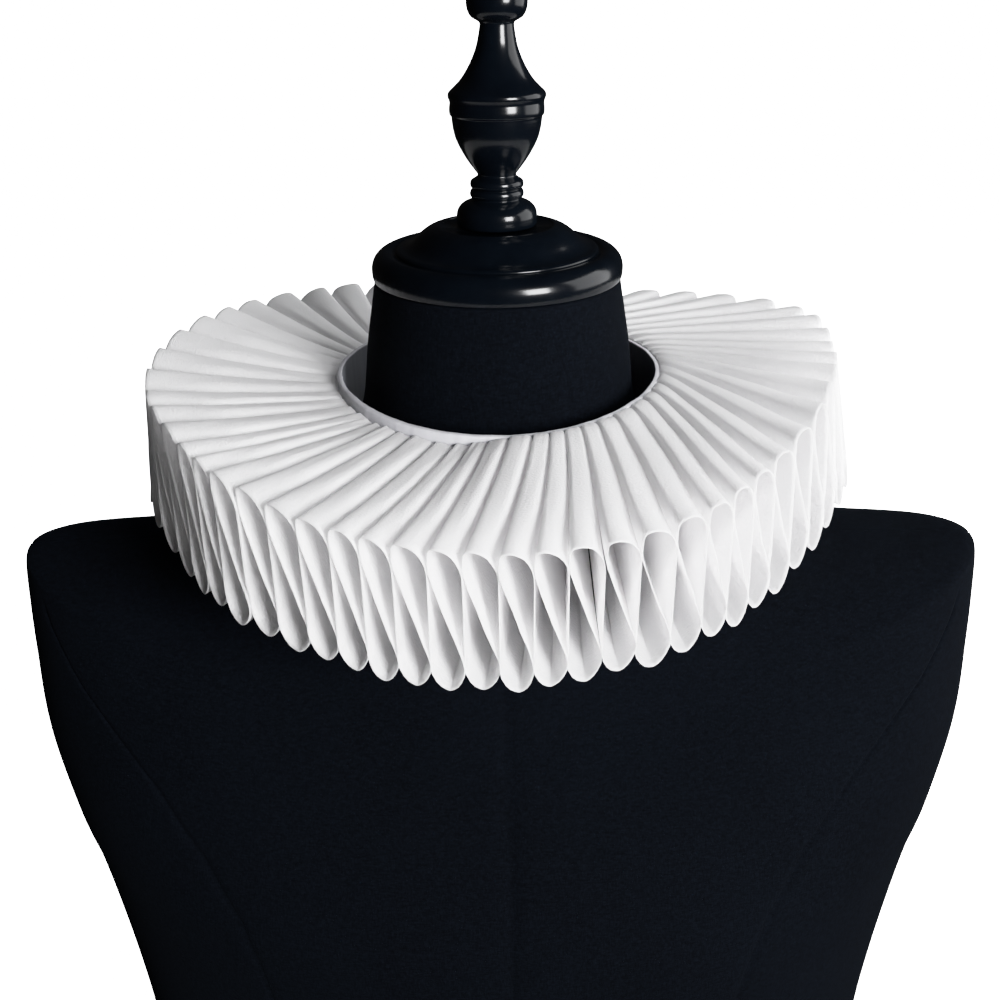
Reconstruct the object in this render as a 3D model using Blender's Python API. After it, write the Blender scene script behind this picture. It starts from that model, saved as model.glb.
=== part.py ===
"""Ruff collar on a limbless dress form.

The collar is a satin neckband with one long strip of satin pleated into figure-eight loops and sewn to it,
closed at the centre back by one hook and one eye. The form is a covered body and neck, a lacquered neck cap
and a turned finial. The wearer's front faces -Y and the form's flat base lies on z = 0.
"""
import math

import bmesh
import bpy
from mathutils import Vector

# Driving dimensions, in metres unless a name says otherwise. Heights in the tables below are measured from
# the top edge of the neckband at the sides, which stands BAND_TOP above the base.
BAND_TOP = 0.460
FORWARD_SHIFT = 0.0008
BAND_RADIUS = 0.0660
BAND_WALL = 0.0020
BAND_DEPTH = 0.0320
BAND_FRONT_DROP = 0.0049
BAND_SEGMENTS = 96
BACK_GAP_DEG = 0.30
SEAM_GAP = 0.0008
FRILL_WALL = 0.0010
FRILL_INNER_RADIUS = BAND_RADIUS + BAND_WALL + SEAM_GAP
FRILL_INNER_TOP = 0.0010
FRILL_INNER_FOOT = -0.0330
INNER_LEAN = 0.75
WIRE_RADIUS = 0.00045
WIRE_SIDES = 8
FORM_POINTS = 64
TURNED_POINTS = 36

# Rim of the frill round the neck. Columns: angle in degrees from the centre front towards +X, radius and
# height of the top loops, radius and height of the bottom loops.
RIM = (
    (-180.0, 0.1390, 0.0020, 0.1375, -0.0530),
    (-150.0, 0.1392, 0.0040, 0.1390, -0.0520),
    (-125.0, 0.1400, 0.0075, 0.1430, -0.0500),
    (-105.0, 0.1410, 0.0100, 0.1480, -0.0490),
    (-85.0, 0.1428, 0.0085, 0.1505, -0.0490),
    (-72.0, 0.1432, 0.0052, 0.1470, -0.0505),
    (-60.0, 0.1415, 0.0028, 0.1415, -0.0582),
    (-45.0, 0.1405, -0.0030, 0.1400, -0.0620),
    (-25.0, 0.1405, -0.0100, 0.1395, -0.0637),
    (0.0, 0.1405, -0.0148, 0.1395, -0.0677),
    (25.0, 0.1400, -0.0110, 0.1395, -0.0637),
    (45.0, 0.1370, -0.0020, 0.1397, -0.0572),
    (60.0, 0.1360, 0.0045, 0.1410, -0.0510),
    (72.0, 0.1362, 0.0065, 0.1450, -0.0455),
    (85.0, 0.1385, 0.0095, 0.1490, -0.0415),
    (100.0, 0.1420, 0.0125, 0.1480, -0.0420),
    (115.0, 0.1420, 0.0092, 0.1440, -0.0450),
    (130.0, 0.1405, 0.0045, 0.1405, -0.0480),
    (150.0, 0.1390, -0.0005, 0.1385, -0.0520),
)

# Pleats. Columns: angle of the bottom loop in degrees, how far it hangs below the rim table in mm, and angle
# of the top loop.
PLEATS = (
    (-175.7, 0.0, -175.7), (-167.6, 0.5, -167.6), (-159.3, -0.4, -159.3), (-151.0, 0.3, -151.0),
    (-142.6, -0.3, -142.6), (-133.8, 0.4, -133.8), (-124.5, 0.0, -124.5), (-116.5, -0.5, -116.5),
    (-108.0, 0.4, -108.0), (-98.5, 0.0, -98.5), (-89.0, 0.3, -89.0), (-80.0, -0.4, -80.0),
    (-72.3, 0.5, -72.3), (-65.5, 0.3, -65.5), (-59.5, 0.6, -59.5), (-53.8, 0.3, -53.8),
    (-48.5, -1.2, -48.5), (-42.7, 0.5, -42.7), (-37.0, -0.4, -37.0), (-31.1, 0.6, -31.1),
    (-25.9, -0.4, -25.9), (-21.0, 0.2, -21.0), (-16.8, 1.3, -16.8), (-12.1, 0.6, -12.1),
    (-7.4, 0.6, -7.4), (-2.7, -0.4, -2.7), (2.2, 0.1, 2.2), (6.6, -1.0, 6.6),
    (11.6, -0.4, 11.6), (16.4, -2.2, 16.4), (21.7, 0.6, 21.7), (27.4, 0.0, 27.4),
    (32.3, -1.4, 32.3), (36.9, 0.4, 36.9), (41.5, -1.6, 41.5), (47.2, 0.5, 47.2),
    (53.6, -1.2, 54.0), (60.0, 0.6, 62.2), (66.0, 0.3, 71.4), (72.0, -0.4, 78.8),
    (78.0, 0.5, 83.8), (84.0, 0.0, 88.2), (90.5, -0.4, 94.0), (98.0, 0.4, 101.2),
    (106.5, -0.3, 108.6), (116.5, 0.3, 119.5), (127.0, 0.0, 129.8), (137.5, 0.4, 138.8),
    (147.2, 0.3, 147.4), (156.3, 0.0, 156.3), (165.6, 0.4, 165.6), (175.3, 0.0, 175.3),
)

# Swirl of the pleats. Columns: angle at the rim in degrees, and how far the pleat has turned on from there
# where it meets the neckband.
SWIRL = (
    (-180.0, 0.0), (-165.0, 8.0), (-150.0, 14.0), (-135.0, 13.0), (-120.0, 8.5), (-105.0, 4.5),
    (-90.0, 3.0), (-72.0, 2.2), (-55.0, 2.0), (-40.0, 0.5), (-28.0, 0.5), (-20.0, 5.0),
    (-8.0, 7.0), (0.0, 11.0), (12.0, 12.5), (24.0, 15.5), (36.0, 23.0), (48.0, 28.5),
    (60.0, 31.0), (72.0, 28.0), (80.0, 26.0), (88.0, 26.4), (96.0, 26.6), (108.0, 24.0),
    (125.0, 18.5), (140.0, 14.0), (155.0, 9.5), (168.0, 4.5),
)

# One pleat from its bottom loop up the slanting strand, over its top loop and down to the next pleat.
# Columns: sideways place in pleat widths at the rim and at the neckband, height share at the rim and at
# the neckband (0 at the bottom loops, 1 at the top loops).
WAVE = (
    (-0.440, -0.255, 0.300, 0.300),
    (-0.430, -0.245, 0.135, 0.135),
    (-0.290, -0.165, 0.032, 0.035),
    (0.000, 0.000, 0.000, 0.000),
    (0.290, 0.165, 0.032, 0.035),
    (0.430, 0.245, 0.135, 0.135),
    (0.340, 0.200, 0.290, 0.290),
    (0.000, 0.000, 0.510, 0.510),
    (-0.340, -0.200, 0.730, 0.730),
    (-0.430, -0.245, 0.860, 0.865),
    (-0.290, -0.165, 0.968, 0.965),
    (0.000, 0.000, 1.000, 1.000),
    (0.290, 0.165, 0.968, 0.965),
    (0.430, 0.245, 0.860, 0.865),
    (0.440, 0.255, 0.700, 0.700),
    (0.490, 0.500, 0.500, 0.500),
)

# Sections of the form's body, base to neck, and of its neck. Columns: half width, height at the sides, depth
# in front, depth behind, height at the front and back, squareness of the section.
BODY = (
    (0.1900, -0.4600, 0.1020, 0.0960, -0.4600, 2.20),
    (0.1919, -0.4250, 0.1050, 0.0970, -0.4250, 2.20),
    (0.1922, -0.3845, 0.1090, 0.0990, -0.3845, 2.20),
    (0.1925, -0.3370, 0.1140, 0.1000, -0.3370, 2.20),
    (0.1948, -0.2920, 0.1190, 0.1010, -0.2920, 2.20),
    (0.1986, -0.2500, 0.1230, 0.1020, -0.2540, 2.20),
    (0.2029, -0.2180, 0.1240, 0.1030, -0.2300, 2.20),
    (0.2086, -0.1950, 0.1220, 0.1030, -0.2120, 2.20),
    (0.2144, -0.1550, 0.1150, 0.1010, -0.1820, 2.20),
    (0.2148, -0.1200, 0.1050, 0.0947, -0.1578, 2.15),
    (0.2148, -0.1000, 0.0960, 0.0883, -0.1382, 2.10),
    (0.2147, -0.0850, 0.0880, 0.0817, -0.1237, 2.00),
    (0.2125, -0.0822, 0.0855, 0.0785, -0.1180, 2.00),
    (0.2058, -0.0815, 0.0830, 0.0758, -0.1130, 2.00),
    (0.1931, -0.0815, 0.0790, 0.0701, -0.1045, 2.00),
    (0.1680, -0.0812, 0.0755, 0.0682, -0.0953, 2.00),
    (0.1350, -0.0790, 0.0725, 0.0675, -0.0814, 2.00),
    (0.1000, -0.0620, 0.0700, 0.0670, -0.0670, 2.00),
    (0.0780, -0.0450, 0.0660, 0.0650, -0.0550, 2.00),
    (0.0680, -0.0360, 0.0625, 0.0630, -0.0435, 2.00),
    (0.0618, -0.0280, 0.0596, 0.0602, -0.0280, 2.00),
)
NECK = (
    (0.0615, -0.0276, 0.0593, 0.0599, -0.0276, 2.00),
    (0.0590, -0.0180, 0.0577, 0.0582, -0.0180, 2.00),
    (0.0567, -0.0080, 0.0563, 0.0567, -0.0080, 2.00),
    (0.0545, 0.0110, 0.0545, 0.0545, 0.0110, 2.00),
    (0.0515, 0.0290, 0.0515, 0.0515, 0.0290, 2.00),
    (0.0500, 0.0380, 0.0500, 0.0500, 0.0380, 2.00),
)

# Half profiles of the turned pieces. Columns: radius, height.
CAP = (
    (0.0000, 0.0384), (0.0485, 0.0384), (0.0500, 0.0392), (0.0506, 0.0410), (0.0505, 0.0428),
    (0.0495, 0.0449), (0.0472, 0.0468), (0.0445, 0.0477), (0.0418, 0.0475), (0.0410, 0.0480),
    (0.0408, 0.0492), (0.0398, 0.0499), (0.0372, 0.0506), (0.0345, 0.0522), (0.0315, 0.0551),
    (0.0280, 0.0576), (0.0245, 0.0588), (0.0228, 0.0590), (0.0220, 0.0577), (0.0000, 0.0576),
)
FINIAL = (
    (0.0000, 0.0580), (0.0130, 0.0580), (0.0149, 0.0592), (0.0157, 0.0616), (0.0154, 0.0645),
    (0.0138, 0.0671), (0.0106, 0.0688), (0.0098, 0.0694), (0.0106, 0.0703), (0.0108, 0.0714),
    (0.0104, 0.0726), (0.0096, 0.0731), (0.0104, 0.0738), (0.0107, 0.0750), (0.0103, 0.0763),
    (0.0088, 0.0772), (0.0076, 0.0784), (0.0090, 0.0805), (0.0112, 0.0834), (0.0139, 0.0875),
    (0.0161, 0.0920), (0.0171, 0.0958), (0.0175, 0.0985), (0.0178, 0.1000), (0.0189, 0.1012),
    (0.0191, 0.1030), (0.0189, 0.1046), (0.0181, 0.1056), (0.0184, 0.1064), (0.0189, 0.1076),
    (0.0185, 0.1090), (0.0168, 0.1106), (0.0140, 0.1134), (0.0115, 0.1170), (0.0096, 0.1206),
    (0.0080, 0.1246), (0.0070, 0.1284), (0.0063, 0.1325), (0.0072, 0.1336), (0.0096, 0.1350),
    (0.0110, 0.1372), (0.0115, 0.1402), (0.0110, 0.1434), (0.0092, 0.1464), (0.0056, 0.1486),
    (0.0000, 0.1494),
)

# Wire paths of the fastening at the centre back. Columns: distance from the centre back, height above the
# fastening's line, distance in from the neckband.
FASTENING_HEIGHT = -0.0150
EYE_PATH = (
    (0.0070, 0.0017, 0.0012), (0.0050, 0.0018, 0.0011), (0.0025, 0.0018, 0.0011), (0.0010, 0.0017, 0.0011),
    (-0.0001, 0.0014, 0.0011), (-0.0009, 0.0008, 0.0011), (-0.0012, 0.0000, 0.0011),
    (-0.0009, -0.0008, 0.0011), (-0.0001, -0.0014, 0.0011), (0.0010, -0.0017, 0.0011),
    (0.0025, -0.0018, 0.0011), (0.0050, -0.0018, 0.0011), (0.0070, -0.0017, 0.0012),
)
HOOK_PATH = (
    (-0.0080, 0.0000, 0.0012), (-0.0062, 0.0000, 0.0012), (-0.0044, 0.0000, 0.0014),
    (-0.0030, 0.0000, 0.0021), (-0.0014, 0.0000, 0.0025), (0.0000, 0.0000, 0.0025),
    (0.0010, 0.0000, 0.0021), (0.0013, 0.0000, 0.0015), (0.0010, 0.0000, 0.0009),
    (0.0003, 0.0000, 0.0008),
)


def clear_scene():
    """Remove every object so that the script always starts from an empty scene."""
    for item in list(bpy.data.objects):
        bpy.data.objects.remove(item, do_unlink=True)


def material(name, colour, roughness, metallic):
    """Return a Principled material."""
    made = bpy.data.materials.new(name)
    made.use_nodes = True
    shader = made.node_tree.nodes["Principled BSDF"]
    shader.inputs["Base Color"].default_value = (*colour, 1.0)
    shader.inputs["Roughness"].default_value = roughness
    shader.inputs["Metallic"].default_value = metallic
    return made


def solid(name, points, faces, made):
    """Make one closed body from points and faces, facing out, standing at its place over the base."""
    mesh = bpy.data.meshes.new(name)
    built = bmesh.new()
    shift = Vector((0.0, FORWARD_SHIFT, BAND_TOP))
    corners = [built.verts.new(Vector(point) + shift) for point in points]
    for face in faces:
        built.faces.new([corners[index] for index in face])
    bmesh.ops.recalc_face_normals(built, faces=built.faces)
    if built.calc_volume(signed=True) < 0.0:
        bmesh.ops.reverse_faces(built, faces=built.faces)
    bmesh.ops.triangulate(built, faces=built.faces)
    built.to_mesh(mesh)
    built.free()
    mesh.materials.append(made)
    body = bpy.data.objects.new(name, mesh)
    bpy.context.scene.collection.objects.link(body)
    return body


def around(table, angle, column):
    """Read a column of a table that runs round the neck, smoothly, at an angle in degrees."""
    count = len(table)
    turned = (angle + 180.0) % 360.0 - 180.0
    place = max(index for index in range(count) if table[index][0] <= turned)

    def row(index):
        wrap = index // count
        return table[index % count][0] + 360.0 * wrap, table[index % count][column]

    before, start, end, after = (row(place + step) for step in (-1, 0, 1, 2))
    width = end[0] - start[0]
    share = (turned - start[0]) / width
    slope_start = (end[1] - before[1]) / (end[0] - before[0]) * width
    slope_end = (after[1] - start[1]) / (after[0] - start[0]) * width
    square = share * share
    cube = square * share
    return (
        (2.0 * cube - 3.0 * square + 1.0) * start[1]
        + (cube - 2.0 * square + share) * slope_start
        + (3.0 * square - 2.0 * cube) * end[1]
        + (cube - square) * slope_end
    )


def polar(radius, angle, height):
    """Place a point by its radius and its angle in degrees from the centre front."""
    turn = math.radians(angle)
    return Vector((radius * math.sin(turn), -radius * math.cos(turn), height))


def band_drop(angle):
    """How far the neckband sinks at an angle: nothing at the sides and back, most at the centre front."""
    forward = max(0.0, math.cos(math.radians(angle)))
    return -BAND_FRONT_DROP * forward * forward


def neckband():
    """Points and faces of the neckband, an upright strip bent round the neck and open at the back."""
    half = BAND_WALL / 2.0
    outside = BAND_RADIUS + BAND_WALL
    section = (
        (BAND_RADIUS, -BAND_DEPTH + half / 2.0),
        (BAND_RADIUS, -half / 2.0),
        (BAND_RADIUS + half / 2.0, 0.0),
        (outside - half / 2.0, 0.0),
        (outside, -half / 2.0),
        (outside, -BAND_DEPTH + half / 2.0),
        (outside - half / 2.0, -BAND_DEPTH),
        (BAND_RADIUS + half / 2.0, -BAND_DEPTH),
    )
    size = len(section)
    points = []
    for step in range(BAND_SEGMENTS + 1):
        angle = -180.0 + BACK_GAP_DEG + (360.0 - 2.0 * BACK_GAP_DEG) * step / BAND_SEGMENTS
        points += [polar(radius, angle, height + band_drop(angle)) for radius, height in section]
    faces = []
    for step in range(BAND_SEGMENTS):
        for index in range(size):
            ahead = (index + 1) % size
            first = step * size
            faces.append((first + index, first + ahead, first + size + ahead, first + size + index))
    faces.append(tuple(range(size)))
    faces.append(tuple(range(BAND_SEGMENTS * size, BAND_SEGMENTS * size + size)))
    return points, faces


def pleat_edges(column):
    """Angles of the borders between pleats, from one back end of the frill to the other."""
    angles = [pleat[column] for pleat in PLEATS]
    middle = [(angles[index] + angles[index + 1]) / 2.0 for index in range(len(angles) - 1)]
    return [-180.0 + BACK_GAP_DEG, *middle, 180.0 - BACK_GAP_DEG]


def pleat_angle(number, side, share, foot_edges, top_edges):
    """Angle of a place on a pleat, between its bottom loop (share 0) and its top loop (share 1)."""
    foot_centre, _, top_centre = PLEATS[number]
    ahead = number if side < 0.0 else number + 1
    low = foot_centre + 2.0 * side * abs(foot_centre - foot_edges[ahead])
    high = top_centre + 2.0 * side * abs(top_centre - top_edges[ahead])
    return low + (high - low) * share


def frill_lines():
    """Middle lines of the frill's cloth along its rim and along the neckband."""
    foot_edges = pleat_edges(0)
    top_edges = pleat_edges(2)
    rim = []
    inner = []
    for number, (_, foot, _) in enumerate(PLEATS):
        wave = WAVE[1:] if number == 0 else WAVE
        if number == len(PLEATS) - 1:
            wave = WAVE[:-1]
        for rim_side, inner_side, rim_share, inner_share in wave:
            angle = pleat_angle(number, rim_side, rim_share, foot_edges, top_edges)
            top = around(RIM, angle, 2)
            bottom = around(RIM, angle, 4) - foot / 1000.0
            radius = around(RIM, angle, 3) * (1.0 - rim_share) + around(RIM, angle, 1) * rim_share
            rim.append(polar(radius, angle, bottom + (top - bottom) * rim_share))
            inner_angle = pleat_angle(number, inner_side, INNER_LEAN, foot_edges, top_edges)
            inner_angle += around(SWIRL, inner_angle, 1)
            low = FRILL_INNER_FOOT + band_drop(inner_angle)
            high = FRILL_INNER_TOP + band_drop(inner_angle)
            inner.append(polar(FRILL_INNER_RADIUS, inner_angle, low + (high - low) * inner_share))
    return rim, inner


def frill():
    """Points and faces of the frill: a wall of even thickness ruled from the neckband to the rim."""
    rim, inner = frill_lines()
    count = len(rim)
    points = []
    for index in range(count):
        behind = max(0, index - 1)
        ahead = min(count - 1, index + 1)
        spoke = rim[index] - inner[index]
        for line in (inner, rim):
            along = line[ahead] - line[behind]
            across = along.cross(spoke).normalized() * (FRILL_WALL / 2.0)
            points += [line[index] + across, line[index] - across]
    faces = []
    for index in range(count - 1):
        first = index * 4
        after = first + 4
        faces.append((first, first + 2, after + 2, after))
        faces.append((first + 1, after + 1, after + 3, first + 3))
        faces.append((first, after, after + 1, first + 1))
        faces.append((first + 2, first + 3, after + 3, after + 2))
    last = (count - 1) * 4
    faces.append((0, 1, 3, 2))
    faces.append((last, last + 2, last + 3, last + 1))
    return points, faces


def lofted(sections):
    """Points and faces of a closed body lofted through oval sections, with a flat end below and above."""
    points = []
    for half_width, side_height, front, back, middle_height, squareness in sections:
        for step in range(FORM_POINTS):
            turn = 2.0 * math.pi * step / FORM_POINTS
            across = math.cos(turn)
            along = math.sin(turn)
            depth = back if along > 0.0 else front
            x = half_width * math.copysign(abs(across) ** (2.0 / squareness), across)
            y = depth * math.copysign(abs(along) ** (2.0 / squareness), along)
            share = min(1.0, abs(x) / half_width)
            height = middle_height + (side_height - middle_height) * share * share
            points.append((x, y, height))
    rows = len(sections)
    faces = []
    for row in range(rows - 1):
        for step in range(FORM_POINTS):
            ahead = (step + 1) % FORM_POINTS
            first = row * FORM_POINTS
            after = first + FORM_POINTS
            faces.append((first + step, first + ahead, after + ahead, after + step))
    faces.append(tuple(range(FORM_POINTS)))
    faces.append(tuple(range((rows - 1) * FORM_POINTS, rows * FORM_POINTS)))
    return points, faces


def turned(profile):
    """Points and faces of a turned piece whose profile starts and ends on the axis."""
    points = [(0.0, 0.0, profile[0][1]), (0.0, 0.0, profile[-1][1])]
    for radius, height in profile[1:-1]:
        for step in range(TURNED_POINTS):
            turn = 2.0 * math.pi * step / TURNED_POINTS
            points.append((radius * math.cos(turn), radius * math.sin(turn), height))
    rows = len(profile) - 2
    last = 2 + (rows - 1) * TURNED_POINTS
    faces = []
    for step in range(TURNED_POINTS):
        ahead = (step + 1) % TURNED_POINTS
        faces.append((0, 2 + ahead, 2 + step))
        faces.append((1, last + step, last + ahead))
        for row in range(rows - 1):
            first = 2 + row * TURNED_POINTS
            after = first + TURNED_POINTS
            faces.append((first + step, first + ahead, after + ahead, after + step))
    return points, faces


def wire(path):
    """Points and faces of a round wire along a path set out at the centre back of the neckband."""
    line = []
    for side, lift, inward in path:
        radius = BAND_RADIUS - inward
        line.append(Vector((side, math.sqrt(radius * radius - side * side), FASTENING_HEIGHT + lift)))
    level = Vector((0.0, 0.0, 1.0)) if abs(path[0][1]) < 1e-9 else Vector((0.0, 1.0, 0.0))
    points = []
    for index, place in enumerate(line):
        along = (line[min(len(line) - 1, index + 1)] - line[max(0, index - 1)]).normalized()
        side = along.cross(level).normalized()
        lift = side.cross(along)
        for step in range(WIRE_SIDES):
            turn = 2.0 * math.pi * step / WIRE_SIDES
            points.append(place + WIRE_RADIUS * (math.cos(turn) * side + math.sin(turn) * lift))
    faces = []
    for row in range(len(line) - 1):
        for step in range(WIRE_SIDES):
            ahead = (step + 1) % WIRE_SIDES
            first = row * WIRE_SIDES
            after = first + WIRE_SIDES
            faces.append((first + step, first + ahead, after + ahead, after + step))
    faces.append(tuple(range(WIRE_SIDES)))
    faces.append(tuple(range((len(line) - 1) * WIRE_SIDES, len(line) * WIRE_SIDES)))
    return points, faces


def build():
    """Build the collar and the form it is worn on."""
    clear_scene()
    satin = material("white_satin", (0.80, 0.80, 0.82), 0.35, 0.0)
    cloth = material("black_cloth", (0.006, 0.008, 0.013), 0.90, 0.0)
    lacquer = material("black_lacquer", (0.004, 0.006, 0.009), 0.20, 0.0)
    metal = material("fastening_metal", (0.60, 0.60, 0.62), 0.30, 1.0)
    solid("frill", *frill(), satin)
    solid("neckband", *neckband(), satin)
    solid("hook", *wire(HOOK_PATH), metal)
    solid("eye", *wire(EYE_PATH), metal)
    solid("form_body", *lofted(BODY), cloth)
    solid("form_neck", *lofted(NECK), cloth)
    solid("neck_cap", *turned(CAP), lacquer)
    solid("finial", *turned(FINIAL), lacquer)


build()
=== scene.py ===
# %% [markdown]
# # A ruff collar, worn on a limbless dress form
#
# A ruff is one long strip of stiff cloth, folded into figure-eight loops and sewn to a neckband. This one
# is white satin ribbon and closes at the back with a hook and an eye. It rests on a black tailor's form:
# a covered body and neck, a lacquered cap and a turned finial. The solids of all of it come ready in a
# frame, and the lesson dresses them: each step makes one piece finer, in cloth, wood or wire.

# %% Open the frame
import math

import bmesh
import bpy
from mathutils import Matrix, Vector, noise


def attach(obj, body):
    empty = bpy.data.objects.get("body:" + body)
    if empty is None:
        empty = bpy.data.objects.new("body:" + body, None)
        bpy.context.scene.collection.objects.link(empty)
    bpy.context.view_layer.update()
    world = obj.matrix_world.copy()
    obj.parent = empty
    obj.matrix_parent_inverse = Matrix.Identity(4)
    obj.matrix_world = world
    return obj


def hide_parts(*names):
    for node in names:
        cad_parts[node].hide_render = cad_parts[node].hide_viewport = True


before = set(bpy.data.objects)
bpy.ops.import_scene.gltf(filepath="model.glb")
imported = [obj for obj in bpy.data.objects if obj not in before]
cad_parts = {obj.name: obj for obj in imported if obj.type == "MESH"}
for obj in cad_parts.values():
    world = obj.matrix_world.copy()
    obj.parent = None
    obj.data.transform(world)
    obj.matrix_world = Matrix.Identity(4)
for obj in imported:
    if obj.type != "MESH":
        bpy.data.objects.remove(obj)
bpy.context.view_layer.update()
print("solids:", sorted(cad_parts))

# %% [markdown]
# ## The camera
#
# A portrait lens stands in front of the collar, a little above it and looking down on the pleats. It
# could be aimed with a constraint, but a plain place and two turns are easier to read and to change. The
# second turn tips the camera by less than a degree, as a hand does. All heights below are counted from
# the middle of the neckband's upper edge, which is where a maker would measure from.

# %% Set up the camera
BAND_TOP = Vector((0.0, 0.0008, 0.460))
CAMERA_FROM_BAND = Vector((0.0, -0.4443, 0.1527))
LOOKING_DOWN = 26.0
HELD_CROOKED = -0.65


def look_down():
    lens = bpy.data.cameras.new("portrait_lens")
    lens.sensor_width = 36.0
    lens.lens = 39.6
    lens.clip_start = 0.02
    camera = bpy.data.objects.new("camera", lens)
    pitch = Matrix.Rotation(math.radians(90.0 - LOOKING_DOWN), 4, "X")
    roll = Matrix.Rotation(math.radians(HELD_CROOKED), 4, "Z")
    camera.matrix_world = Matrix.Translation(BAND_TOP + CAMERA_FROM_BAND) @ pitch @ roll
    bpy.context.scene.collection.objects.link(camera)
    bpy.context.scene.camera = camera
    return camera


camera = look_down()
print("camera at", [round(x, 3) for x in camera.matrix_world.translation])

# %% [markdown]
# ## The paper floor
#
# A long sheet of white paper runs under the form and curves up behind it. It is lit from within, so that
# it stays white in every view, and it throws no light back at the collar: white satin needs shade to show
# its folds. A backdrop could be lit with lamps of its own, but their light would spill onto the pleats.


# %% Lay the paper
def mix_nodes(name):
    made = bpy.data.materials.new(name)
    made.use_nodes = True
    return made, made.node_tree.nodes, made.node_tree.links


PAPER_HALF_WIDTH = 6.0
PAPER_FRONT = -4.0
BEND_STARTS = 3.0
BEND_RADIUS = 1.5
PAPER_HEIGHT = 4.5


def paper_floor():
    wall = BEND_STARTS + BEND_RADIUS
    rise = [(PAPER_FRONT, 0.0), (BEND_STARTS, 0.0)]
    for turn in (0.2, 0.5, 0.8, 1.1, 1.4):
        rise.append((BEND_STARTS + BEND_RADIUS * math.sin(turn), BEND_RADIUS * (1.0 - math.cos(turn))))
    rise += [(wall, 1.2 * BEND_RADIUS), (wall, PAPER_HEIGHT)]
    points, faces = [], []
    for y, z in rise:
        points += [(-PAPER_HALF_WIDTH, y, z), (PAPER_HALF_WIDTH, y, z)]
    for step in range(len(rise) - 1):
        faces.append((2 * step, 2 * step + 1, 2 * step + 3, 2 * step + 2))
    mesh = bpy.data.meshes.new("paper")
    mesh.from_pydata(points, [], faces)
    paper = bpy.data.objects.new("paper", mesh)
    made, nodes, links = mix_nodes("white_paper")
    shader = nodes["Principled BSDF"]
    shader.inputs["Base Color"].default_value = (0.90, 0.90, 0.90, 1.0)
    shader.inputs["Roughness"].default_value = 0.9
    shader.inputs["Specular IOR Level"].default_value = 0.1
    shader.inputs["Emission Color"].default_value = (1.0, 1.0, 1.0, 1.0)
    shader.inputs["Emission Strength"].default_value = 4.0
    mesh.materials.append(made)
    for face in mesh.polygons:
        face.use_smooth = True
    paper.visible_diffuse = False
    paper.visible_glossy = False
    paper.visible_transmission = False
    bpy.context.scene.collection.objects.link(paper)


paper_floor()
print("paper", 2.0 * PAPER_HALF_WIDTH, "m wide")

# %% [markdown]
# ## Studio light
#
# Light that comes from everywhere would flatten the pleats. So the main soft box stands low at the front
# right, like a window, and rakes across them, which leaves the far left side of the ruff in shade. A wide
# box at the right and one behind it open up the shadows there, and a weak one fills the front. The last
# two are hidden from mirror-like surfaces, or the lacquer would show them as big pale squares. The room
# itself adds only a dim warm glow. Each lamp is a row of one table, so they are easy to compare.

# %% Hang the lights
HEART = Vector((0.0, 0.0, 0.45))
LAMP_DISTANCE = 2.0
LAMPS = {  # turn to the right, rise, width, height, watts, colour, shows in gloss
    "main_box": (35.0, 13.5, 0.7, 0.9, 99.0, (0.99, 0.99, 1.0), True),
    "right_box": (95.0, 15.0, 1.8, 1.8, 35.0, (0.98, 0.99, 1.0), True),
    "back_box": (140.0, 40.0, 1.8, 1.8, 41.0, (0.98, 0.99, 1.0), False),
    "front_fill": (24.0, 3.0, 1.6, 1.2, 8.5, (1.0, 0.98, 0.97), False),
}


def seen_from(turn, rise):
    turn, rise = math.radians(turn), math.radians(rise)
    level = math.cos(rise)
    return HEART + LAMP_DISTANCE * Vector((math.sin(turn) * level, -math.cos(turn) * level, math.sin(rise)))


def soft_box(name, place, width, height, power, colour, shows_in_gloss):
    light = bpy.data.lights.new(name, "AREA")
    light.shape = "RECTANGLE"
    light.size = width
    light.size_y = height
    light.energy = power
    light.color = colour
    lamp = bpy.data.objects.new(name, light)
    lamp.location = place
    lamp.visible_glossy = shows_in_gloss
    lamp.rotation_euler = (HEART - place).to_track_quat("-Z", "Y").to_euler()
    bpy.context.scene.collection.objects.link(lamp)


def dim_room(colour, strength):
    world = bpy.data.worlds.new("room")
    world.use_nodes = True
    world.node_tree.nodes["Background"].inputs["Color"].default_value = (*colour, 1.0)
    world.node_tree.nodes["Background"].inputs["Strength"].default_value = strength
    bpy.context.scene.world = world


for name, (turn, rise, *rest) in LAMPS.items():
    soft_box(name, seen_from(turn, rise), *rest)
dim_room((1.0, 0.94, 0.92), 0.01)

# %% [markdown]
# ## How the picture turns light into white
#
# Blender can imitate film, but film greys the whites, and a white ruff should be white. So tones are
# shown straight up to the middle greys, and above them they rise ever more slowly, as on print paper,
# which keeps folds to be seen in the brightest cloth. Inside the loops, light goes from wall to wall many
# times before it comes out, so it is followed for more bounces than a room scene would need.

# %% Set the tones and the bounces
STRAIGHT_UP_TO = 0.30
WHITEST_LIGHT = 4.0


def soften_highlights(scene):
    scene.view_settings.view_transform = "Standard"
    scene.view_settings.use_curve_mapping = True
    mapping = scene.view_settings.curve_mapping
    mapping.white_level = (WHITEST_LIGHT,) * 3
    curve = mapping.curves[3]
    curve.points[0].location = (0.0, 0.0)
    curve.points[1].location = (1.0, 1.0)
    headroom = 1.0 - STRAIGHT_UP_TO
    for light in (STRAIGHT_UP_TO / 2.0, STRAIGHT_UP_TO, 0.4, 0.55, 0.75, 1.0, 1.4, 2.0, 3.0):
        shown = light
        if light > STRAIGHT_UP_TO:
            shown = STRAIGHT_UP_TO + headroom * (1.0 - math.exp((STRAIGHT_UP_TO - light) / headroom))
        curve.points.new(light / WHITEST_LIGHT, shown)
    mapping.update()


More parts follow.
